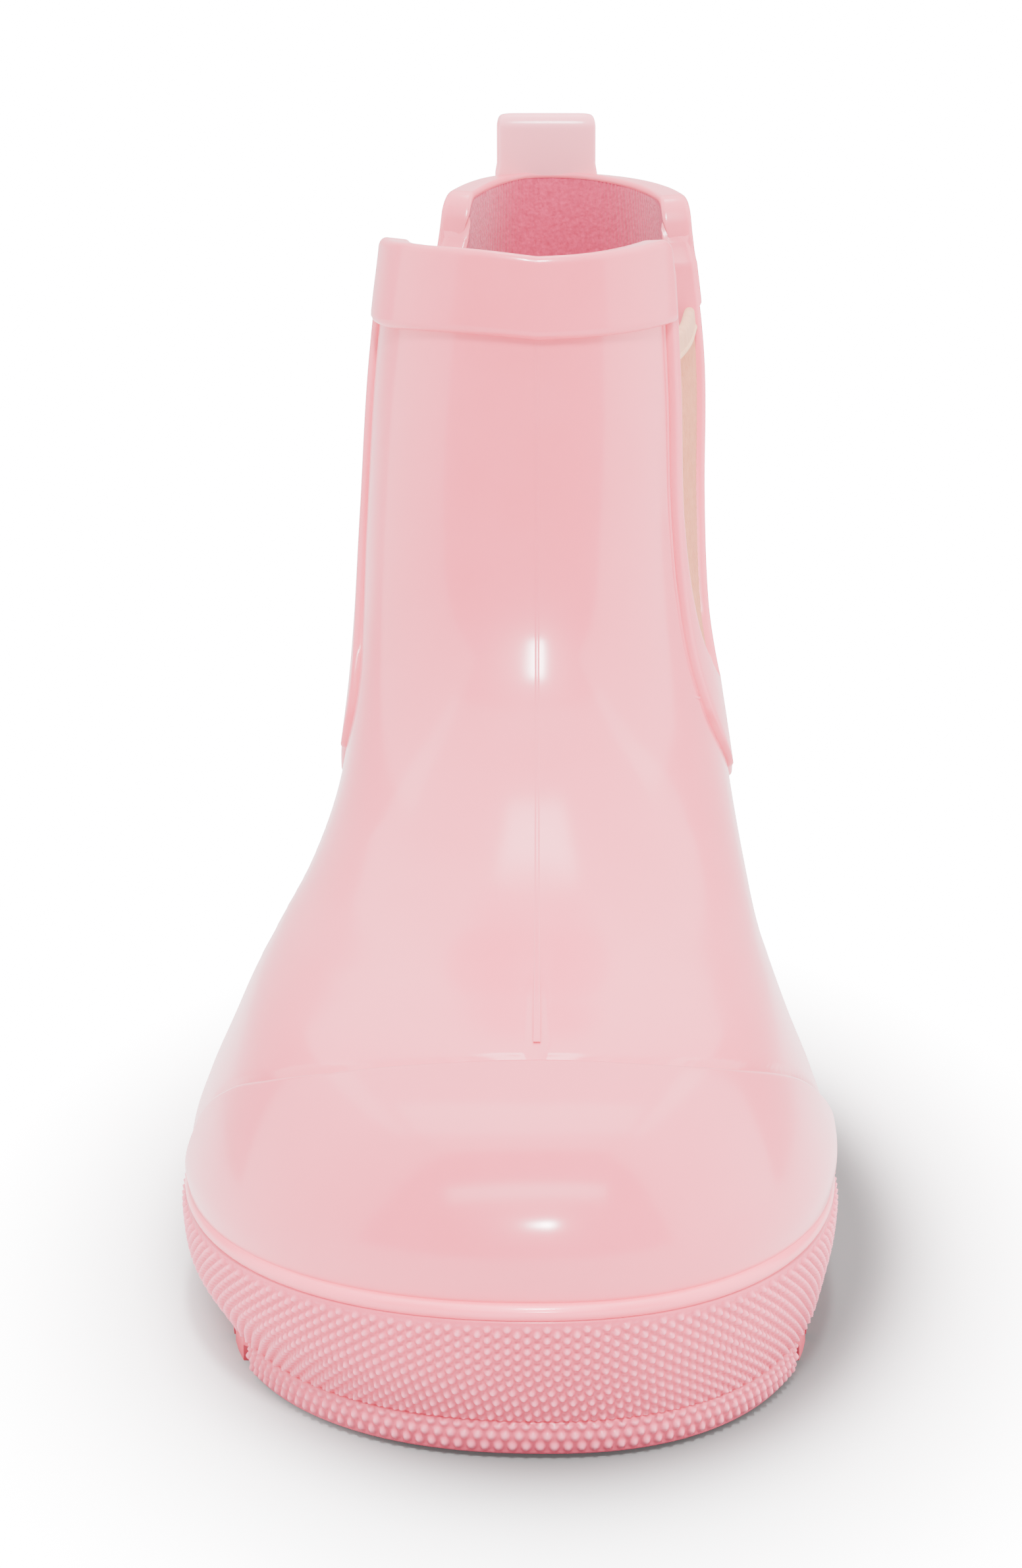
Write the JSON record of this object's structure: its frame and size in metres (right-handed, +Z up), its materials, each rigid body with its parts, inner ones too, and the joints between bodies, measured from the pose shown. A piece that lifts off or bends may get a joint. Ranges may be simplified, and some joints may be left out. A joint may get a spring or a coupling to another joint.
{
  "type": "child's pull-on rain boot",
  "caption": "Ankle-high moulded rubber rain boot for a child's right foot, with elastic side gores, collar bands, a rear pull tab and a textured sole wall.",
  "frame": {"origin": "on the ground in the plane of the front mould seam, at mid-length of the sole", "axes": "+Z up, toe towards -Y, heel towards +Y, medial side of this right boot towards +X"},
  "size_m": [0.0864, 0.1899, 0.1527],
  "materials": {
    "shell_rubber": "satin",
    "trim_rubber": "satin",
    "sole_rubber": "matte",
    "tab_rubber": "satin",
    "lining_knit": "matte",
    "gore_elastic": "matte",
    "hem_tape": "matte",
    "filler_rubber": "matte",
    "insole_board": "matte",
    "footbed_textile": "matte"
  },
  "bodies": {
    "boot": {"outsole": "sole_rubber", "heel_block": "sole_rubber", "sidewall": "sole_rubber", "foxing_bead": "sole_rubber", "toe_lip": "sole_rubber", "midsole_filler": "filler_rubber", "insole_board": "insole_board", "foot_shell": "shell_rubber", "foot_lining": "lining_knit", "toe_cap": "shell_rubber", "heel_counter": "shell_rubber", "rear_shaft_panel": "shell_rubber", "rear_lining": "lining_knit", "rear_collar_band": "trim_rubber", "gore_lateral": "gore_elastic", "gore_medial": "gore_elastic", "gore_hem_lateral": "hem_tape", "gore_hem_medial": "hem_tape", "frame_base_lateral": "trim_rubber", "frame_base_medial": "trim_rubber", "frame_rear_lateral": "trim_rubber", "frame_rear_medial": "trim_rubber", "tab_anchor": "tab_rubber"},
    "front_shaft": {"front_shaft_panel": "shell_rubber", "front_lining": "lining_knit", "front_collar_band": "trim_rubber", "frame_front_lateral": "trim_rubber", "frame_front_medial": "trim_rubber"},
    "tab": {"pull_tab": "tab_rubber"},
    "footbed": {"footbed": "footbed_textile"}
  },
  "joints": [
    {"name": "front_shaft_flex", "type": "hinge", "parent": "boot", "child": "front_shaft", "pos_m": [0, -0.0096, 0.0735], "axis": [1, 0, 0], "range_deg": [0, 10], "deforming": ["gore_lateral", "gore_medial", "gore_hem_lateral", "gore_hem_medial"]},
    {"name": "tab_fold", "type": "hinge", "parent": "boot", "child": "tab", "pos_m": [0.0016, 0.0853, 0.1459], "axis": [1, 0, 0], "range_deg": [-75, 80]},
    {"name": "footbed_lift", "type": "hinge", "parent": "boot", "child": "footbed", "pos_m": [0, -0.0838, 0.012], "axis": [1, 0, 0], "range_deg": [0, 8]}
  ]
}
